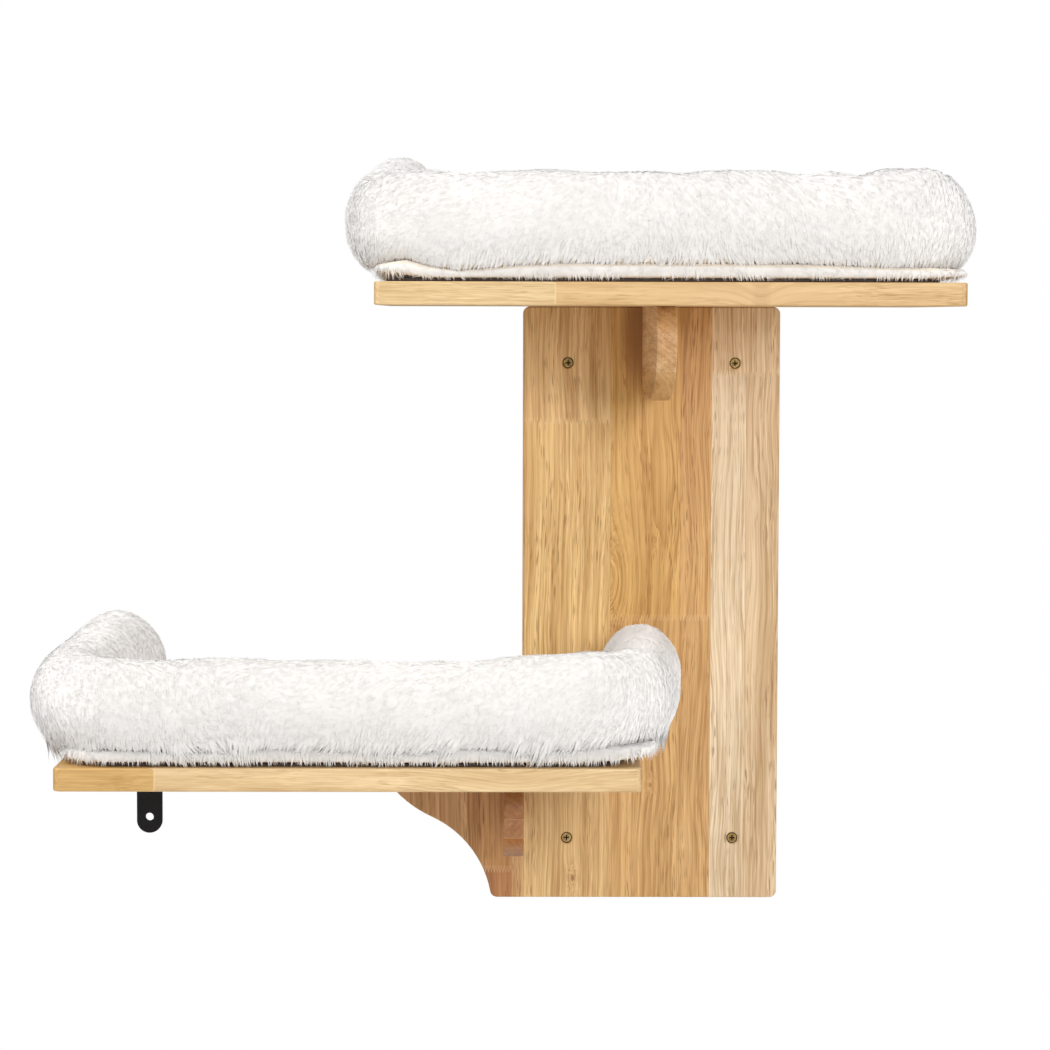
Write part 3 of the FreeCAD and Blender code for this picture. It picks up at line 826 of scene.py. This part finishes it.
def swell(obj, cap, pinned):
    """Cloth simulation with air pressure inside; sewn points stay put and none moves past the cap."""
    apply_modifier(obj, "REMESH", mode="VOXEL", voxel_size=VOXEL, use_smooth_shade=True)
    before = points_of(obj)
    pins = obj.vertex_groups.new(name="sewn")
    pins.add(np.flatnonzero(pinned(before)).tolist(), 1.0, "REPLACE")
    only(obj)
    modifier = obj.modifiers.new("stuffing", "CLOTH")
    cloth = modifier.settings
    cloth.quality = 6
    cloth.use_pressure = True
    cloth.uniform_pressure_force = PRESSURE
    cloth.tension_stiffness = 12.0
    cloth.compression_stiffness = 12.0
    cloth.bending_stiffness = 1.2
    cloth.vertex_group_mass = "sewn"
    cloth.effector_weights.gravity = 0.0
    modifier.collision_settings.use_self_collision = False
    scene = bpy.context.scene
    for number in range(1, FRAMES + 1):
        scene.frame_set(number)
    bpy.ops.object.modifier_apply(modifier=modifier.name)
    scene.frame_set(1)
    obj.vertex_groups.clear()
    moved = points_of(obj) - before
    far = np.linalg.norm(moved, axis=1, keepdims=True)
    set_points(obj, before + moved * np.minimum(1.0, cap / np.maximum(far, 1e-9)))
    apply_modifier(obj, "SMOOTH", factor=0.5, iterations=3)


def add_lumps(obj, name):
    """Uneven stuffing under the pile."""
    texture = bpy.data.textures.new(name, "CLOUDS")
    texture.noise_scale = LUMP_SIZE
    texture.noise_depth = 1
    apply_modifier(
        obj, "DISPLACE", texture=texture, texture_coords="GLOBAL", strength=LUMP_HEIGHT, mid_level=0.5
    )
    bpy.data.textures.remove(texture)


def model_lock():
    """One lock of pile: a slim flat spike with a low ridge and a root-to-tip value."""
    bpy.ops.object.select_all(action="DESELECT")
    bpy.ops.mesh.primitive_cone_add(
        vertices=3, radius1=0.105, radius2=0.0, depth=1.0, end_fill_type="NGON", location=(0, 0, 0.5)
    )
    lock = bpy.context.active_object
    lock.name = "pile_lock"
    lock.scale = (1.0, 0.2, 1.0)
    bpy.ops.object.transform_apply(location=True, rotation=True, scale=True)
    value = lock.data.attributes.new("tip", "FLOAT", "POINT")
    value.data.foreach_set("value", np.clip(points_of(lock)[:, 2], 0.0, 1.0))
    return lock


PILE_INPUTS = ("Density", "Length", "Seed", "Unrest")


def pile_nodes(lock):
    """Geometry nodes that scatter locks, laid along the piece's comb attribute with some unrest."""
    group = bpy.data.node_groups.new("pile", "GeometryNodeTree")
    group.interface.new_socket("Geometry", in_out="INPUT", socket_type="NodeSocketGeometry")
    for name in PILE_INPUTS:
        kind = "NodeSocketInt" if name == "Seed" else "NodeSocketFloat"
        group.interface.new_socket(name, in_out="INPUT", socket_type=kind)
    group.interface.new_socket("Geometry", in_out="OUTPUT", socket_type="NodeSocketGeometry")
    tree = Tree(group)
    given = tree.add("NodeGroupInput").outputs

    def attribute(name, kind="FLOAT"):
        return tree.add("GeometryNodeInputNamedAttribute", {"Name": name}, data_type=kind).outputs[0]

    def scaled(vector, amount):
        node = tree.add("ShaderNodeVectorMath", {0: vector, "Scale": amount}, operation="SCALE")
        return node.outputs[0]

    scatter = tree.add(
        "GeometryNodeDistributePointsOnFaces",
        {
            "Mesh": given["Geometry"],
            "Density": tree.math("MULTIPLY", given["Density"], attribute("cover")),
            "Seed": given["Seed"],
        },
    )
    normal = scatter.outputs["Normal"]
    place = tree.add("GeometryNodeInputPosition").outputs[0]

    def unrest(scale, amount):
        noise = tree.add("ShaderNodeTexNoise", {"Vector": place, "Scale": scale, "Detail": 1.0})
        return scaled(tree.vector("SUBTRACT", noise.outputs["Color"], (0.5, 0.5, 0.5)), amount)

    def random_between(low, high, seed):
        values = {2: low, 3: high, "Seed": seed}
        return tree.add("FunctionNodeRandomValue", values, data_type="FLOAT").outputs[1]

    corners = {0: (-1.0, -1.0, -1.0), 1: (1.0, 1.0, 1.0)}
    wild = tree.add("FunctionNodeRandomValue", corners, data_type="FLOAT_VECTOR")
    lie = attribute("comb", "FLOAT_VECTOR")
    for push in (unrest(15.0, 1.3), unrest(95.0, 0.6), scaled(wild.outputs[0], given["Unrest"])):
        lie = tree.vector("ADD", lie, push)
    along_normal = tree.vector("DOT_PRODUCT", lie, normal)
    flat = tree.vector("SUBTRACT", lie, scaled(normal, along_normal))
    stand = tree.math("MULTIPLY", random_between(0.6, 1.4, 3), attribute("lift"))
    lie = tree.vector("ADD", tree.vector("NORMALIZE", flat), scaled(normal, stand))
    aim = tree.add("FunctionNodeAlignRotationToVector", {"Vector": lie}, axis="Z")
    aim = tree.add(
        "FunctionNodeAlignRotationToVector",
        {"Rotation": aim.outputs["Rotation"], "Vector": normal},
        axis="Y",
        pivot_axis="Z",
    )
    size = tree.math("MULTIPLY", random_between(0.7, 1.35, 7), given["Length"])
    size = tree.math("MULTIPLY", size, attribute("reach"))
    shape = tree.add("GeometryNodeObjectInfo", {"Object": lock, "As Instance": False})
    spread = tree.add(
        "GeometryNodeInstanceOnPoints",
        {
            "Points": scatter.outputs["Points"],
            "Instance": shape.outputs["Geometry"],
            "Rotation": aim.outputs["Rotation"],
            "Scale": tree.combine(size, size, size),
        },
    )
    real = tree.add("GeometryNodeRealizeInstances", {"Geometry": spread.outputs["Instances"]})
    both = tree.add("GeometryNodeJoinGeometry")
    tree.put(both.inputs[0], real.outputs[0])
    tree.put(both.inputs[0], given["Geometry"])
    end = tree.add("NodeGroupOutput")
    tree.put(end.inputs[0], both.outputs[0])
    return group


def note(obj, name, values):
    """Keeps one number or one direction for each point of a piece."""
    kind = "FLOAT_VECTOR" if values.ndim == 2 else "FLOAT"
    layer = obj.data.attributes.new(name, kind, "POINT")
    layer.data.foreach_set("vector" if values.ndim == 2 else "value", values.ravel())


def grow_pile(obj, group, seed, unrest):
    """Covers a piece with locks that shade like the surface they grow from."""
    bare = obj.copy()
    bare.data = obj.data.copy()
    bpy.context.scene.collection.objects.link(bare)
    only(bare)
    bpy.ops.object.shade_smooth()
    only(obj)
    bpy.ops.object.shade_smooth()
    modifier = obj.modifiers.new("pile", "NODES")
    modifier.node_group = group
    values = dict(zip(PILE_INPUTS, (PILE_DENSITY, PILE_LENGTH, seed, unrest)))
    for item in group.interface.items_tree:
        if item.in_out == "INPUT" and item.name in values:
            modifier[item.identifier] = values[item.name]
    bpy.ops.object.modifier_apply(modifier=modifier.name)
    apply_modifier(
        obj,
        "DATA_TRANSFER",
        object=bare,
        use_loop_data=True,
        data_types_loops={"CUSTOM_NORMAL"},
        loop_mapping="POLYINTERP_NEAREST",
    )
    bpy.data.objects.remove(bare)
    for name in ("comb", "reach", "lift"):
        obj.data.attributes.remove(obj.data.attributes[name])


def ragged(places):
    """Uneven 0 to 1 along a fringe."""
    trail = places[:, 0] + 0.6 * places[:, 1]
    waves = np.sin(trail * 47.0 + 0.9) + np.sin(trail * 113.0 + 2.2) + 0.8 * np.sin(trail * 271.0)
    return np.clip(0.5 + 0.5 * waves, 0.15, 1.2)


def in_nest(places, shape, margin=0.0):
    """True for points inside the U of the roll, or up to a margin under it."""
    across = np.abs(places[:, 0] - shape["middle"])
    inside = across < shape["half_span"] - NEST_INSET + margin
    return inside & (places[:, 1] > NEST_FRONT - margin)


def comb_roll(roll, seam, fringe):
    """Pile of the roll: swept to one side on top, and hanging over the seam as the fringe says."""
    places = points_of(roll)
    above = places[:, 2] - seam
    low = np.clip(1.0 - above / SIDE_PILE, 0.0, 1.0)
    hang = fringe * np.clip(1.2 - above / HANGING_PILE, 0.0, 1.0) * ragged(places)
    sweep = np.sin(places[:, 0] * 11.0 + 0.6)
    note(roll, "cover", np.clip((above - BARE_SEAM * (1.0 - fringe)) / 0.0015, 0.0, 1.0))
    note(roll, "reach", 0.85 + 0.3 * low + hang)
    note(roll, "lift", 0.045 + 0.055 * low + 0.6 * hang)
    note(roll, "comb", np.column_stack((0.35 * sweep - 0.2, 0.3 * low - 0.3, -0.35 - 0.9 * low)))


def comb_pad(pad, shape, shelf_top):
    """Pile of the pad: short on its boxed edge, a ragged fringe below, and full in the nest."""
    places = points_of(pad)
    normals = np.empty(len(places) * 3)
    pad.data.vertices.foreach_get("normal", normals)
    upright = normals.reshape(-1, 3)[:, 2]
    above = places[:, 2] - shelf_top
    nest = in_nest(places, shape, NEST_MARGIN)
    edge = (np.abs(upright) < STEEP) & ~nest
    fringe = edge & (above < FRINGE_TOP)
    middle, half_width = shape["pad"]
    aside = half_width - np.abs(places[:, 0] - middle)
    ahead = places[:, 1] - PAD_FRONT
    in_corner = (aside < PAD_CORNER) & (ahead < PAD_CORNER)
    round_inset = PAD_CORNER - np.hypot(PAD_CORNER - aside, PAD_CORNER - ahead)
    inset = np.where(in_corner, round_inset, np.minimum(aside, ahead))
    rim = (upright >= STEEP) & (inset < PAD_RIM) & ~nest
    cover = np.where(edge, 0.9, np.where(rim, shape["fringe"], 0.0))
    note(pad, "cover", np.where(nest & (upright > 0.2), 1.0, cover))
    reach = np.where(edge | rim, 0.5 + 0.35 * shape["fringe"], 1.0)
    note(pad, "reach", np.where(fringe, 0.25 + 0.75 * ragged(places), reach))
    note(pad, "lift", np.where(edge, 0.2, 0.16))
    sideways = np.where(edge, 0.1, -0.4)
    forwards = np.where(edge, 0.0, np.where(rim, -1.0, -0.3))
    note(pad, "comb", np.column_stack((sideways, forwards, np.where(edge, -1.6, -0.1))))


def model_slab(name, middle, half_width, front, back, bottom, top, corner):
    """Flat slab with round front corners."""
    bpy.ops.object.select_all(action="DESELECT")
    centre = (middle, (front + back) / 2, (bottom + top) / 2)
    bpy.ops.mesh.primitive_cube_add(size=1.0, location=centre)
    slab = bpy.context.active_object
    slab.name = name
    slab.scale = (2 * half_width, back - front, top - bottom)
    bpy.ops.object.transform_apply(location=True, rotation=True, scale=True)
    select_edges(slab, lambda a, b: abs(a[2] - b[2]) > 0.0005 and a[1] < front + 0.001)
    bpy.ops.mesh.bevel(offset=corner, segments=10, affect="EDGES")
    bpy.ops.object.mode_set(mode="OBJECT")
    return slab


def dress(piece, material, body, slot, *replaced):
    """Gives a finished piece its material and body, and hides the solids it stands for; slot is not
    used.
    """
    piece.data.materials.clear()
    piece.data.materials.append(material)
    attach(piece, body)
    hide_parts(*replaced)


def bend_front(piece, bottom, height, lower_line, upper_line):
    """Raises the front of a piece by one line at its bottom and by another at its top."""
    places = points_of(piece)
    high = np.clip((places[:, 2] - bottom) / height, 0.0, 1.0)
    places[:, 2] += wave(places, upper_line) * high + wave(places, lower_line) * (1 - high)
    set_points(piece, places)


def make_bed(body, shape, shelf_top, pile, seed):
    """Plush roll, pad and non-slip cloth of one bed, as they lie on a shelf."""
    seam = shelf_top + SEAM_ABOVE_SHELF
    roll = model_roll(body + "_plush_roll", shape, seam)
    swell(roll, ROLL_SWELL, lambda places: places[:, 2] < seam + SEWN_EDGE)
    add_lumps(roll, body + "_lumps")
    apply_modifier(roll, "SUBSURF", levels=1, render_levels=1)
    comb_roll(roll, seam, shape["fringe"])
    bend_front(roll, seam, CREST_HEIGHT, shape["seam"], shape["crest"])
    grow_pile(roll, pile, seed, ROLL_UNREST)
    dress(roll, plush, body, "plush", body + "_bolster", body + "_filling")

    middle, half_width = shape["pad"]
    pad_bottom = shelf_top + PAD_BOTTOM
    pad = model_slab(
        body + "_plush_pad", middle, half_width, PAD_FRONT, PAD_BACK, pad_bottom, seam, PAD_CORNER
    )

    def sewn(places):
        at_top = places[:, 2] > seam - SEWN_EDGE
        return (places[:, 2] < shelf_top + SEWN_BOTTOM) | (~in_nest(places, shape) & at_top)

    swell(pad, PAD_SWELL, sewn)
    apply_modifier(pad, "SUBSURF", levels=1, render_levels=1)
    comb_pad(pad, shape, shelf_top)
    bend_front(pad, pad_bottom, SEAM_ABOVE_SHELF - PAD_BOTTOM, shape["hem"], shape["seam"])
    grow_pile(pad, pile, seed + 1, PAD_UNREST)
    places = points_of(pad)
    places[:, 2] = np.maximum(places[:, 2], shelf_top + BASE_BOTTOM)
    set_points(pad, places)
    dress(pad, plush, body, "plush", body + "_pad")

    cloth = model_slab(
        body + "_non_slip_cloth", shape["middle"], shape["base"], BASE_FRONT, BASE_BACK,
        shelf_top + BASE_BOTTOM, shelf_top + BASE_TOP, BASE_CORNER,
    )
    apply_modifier(cloth, "BEVEL", width=0.0006, segments=2, limit_method="ANGLE")
    only(cloth)
    bpy.ops.object.shade_smooth_by_angle(angle=math.radians(40))
    dress(cloth, base_cloth, body, "base_cloth", body + "_base_cloth")


lock = model_lock()
pile = pile_nodes(lock)
make_bed("upper_bed", UPPER_BED, UPPER_SHELF_TOP, pile, UPPER_SEED)
make_bed("lower_bed", LOWER_BED, LOWER_SHELF_TOP, pile, LOWER_SEED)
bpy.data.objects.remove(lock)


# Floor, light and camera

FLOOR_Z = -1.2
FLOOR_WIDTH = 5.0
AMBIENT = 0.27

# Softboxes: name, place, what it aims at, width, height, watts
SOFTBOXES = (
    ("key", (0.62, -2.7, 0.72), (-0.1, 0.0, 0.05), 0.5, 0.75, 26.5),
    ("top", (-0.1, -1.2, 2.3), (-0.1, -0.1, 0.1), 1.4, 1.0, 11.0),
    ("low", (-0.3, -2.5, -0.95), (-0.15, -0.1, 0.0), 1.4, 0.6, 7.5),
    ("right", (2.3, -1.3, 0.4), (-0.1, 0.0, 0.05), 1.0, 1.0, 17.0),
    ("left", (-1.9, -0.7, 1.5), (-0.25, -0.1, 0.0), 1.2, 1.2, 30.0),
    ("left fill", (-2.4, -0.9, 0.2), (-0.2, -0.1, 0.1), 1.0, 1.0, 9.0),
)


def studio():
    """Pale floor, white surroundings that light the part only a little, and the softboxes."""
    scene = bpy.context.scene
    scene.view_settings.view_transform = "Standard"
    bpy.ops.object.select_all(action="DESELECT")
    bpy.ops.mesh.primitive_plane_add(size=FLOOR_WIDTH, location=(0, 0, FLOOR_Z))
    floor = bpy.context.active_object
    floor.name = "pale_floor"
    material, tree, shader = new_material("pale_floor", roughness=0.9)
    place = tree.add("ShaderNodeTexCoord").outputs["Object"]
    tone = tree.mix(tree.noise(place, 3.0), colour(243, 243, 242), colour(250, 250, 250))
    tree.put(shader.inputs["Base Color"], tone)
    floor.data.materials.append(material)
    world = bpy.data.worlds.new("studio")
    scene.world = world
    world.use_nodes = True
    tree = Tree(world.node_tree)
    back = world.node_tree.nodes["Background"]
    back.inputs["Color"].default_value = (1.0, 1.0, 1.0, 1.0)
    seen = tree.add("ShaderNodeLightPath").outputs["Is Camera Ray"]
    tree.put(back.inputs["Strength"], tree.span(seen, 0.0, 1.0, AMBIENT, 1.0))
    for name, place, aim, width, height, power in SOFTBOXES:
        light = bpy.data.lights.new(name, "AREA")
        light.shape = "RECTANGLE"
        light.size = width
        light.size_y = height
        light.energy = power
        lamp = bpy.data.objects.new(name, light)
        scene.collection.objects.link(lamp)
        turn = (Vector(aim) - Vector(place)).to_track_quat("-Z", "Y")
        lamp.matrix_world = Matrix.Translation(place) @ turn.to_matrix().to_4x4()


# Camera fitted to the photograph: place in metres, and yaw, pitch and roll in degrees
CAMERA_PLACE = (-0.1266, -2.4479, 0.2459)
CAMERA_TURN = (0.435, 3.182, 0.153)
CAMERA_LENS = 97.3
CAMERA_SHIFT = -0.05


def photo_camera():
    """Camera at the photograph's place: a little left of the board and level with the upper shelf."""
    camera = bpy.data.cameras.new("photo_view")
    camera.sensor_width = 36.0
    camera.lens = CAMERA_LENS
    camera.shift_y = CAMERA_SHIFT
    camera.clip_end = 50.0
    yaw, pitch, roll = (math.radians(angle) for angle in CAMERA_TURN)
    reach = math.cos(pitch)
    ahead = Vector((math.sin(yaw) * reach, math.cos(yaw) * reach, -math.sin(pitch)))
    level = Vector((math.cos(yaw), -math.sin(yaw), 0.0))
    upright = level.cross(ahead)
    right = level * math.cos(roll) + upright * math.sin(roll)
    up = upright * math.cos(roll) - level * math.sin(roll)
    turn = Matrix((right, up, -ahead)).transposed().to_4x4()
    stand = bpy.data.objects.new("photo_view", camera)
    bpy.context.scene.collection.objects.link(stand)
    stand.matrix_world = Matrix.Translation(CAMERA_PLACE) @ turn
    bpy.context.scene.camera = stand


studio()
photo_camera()
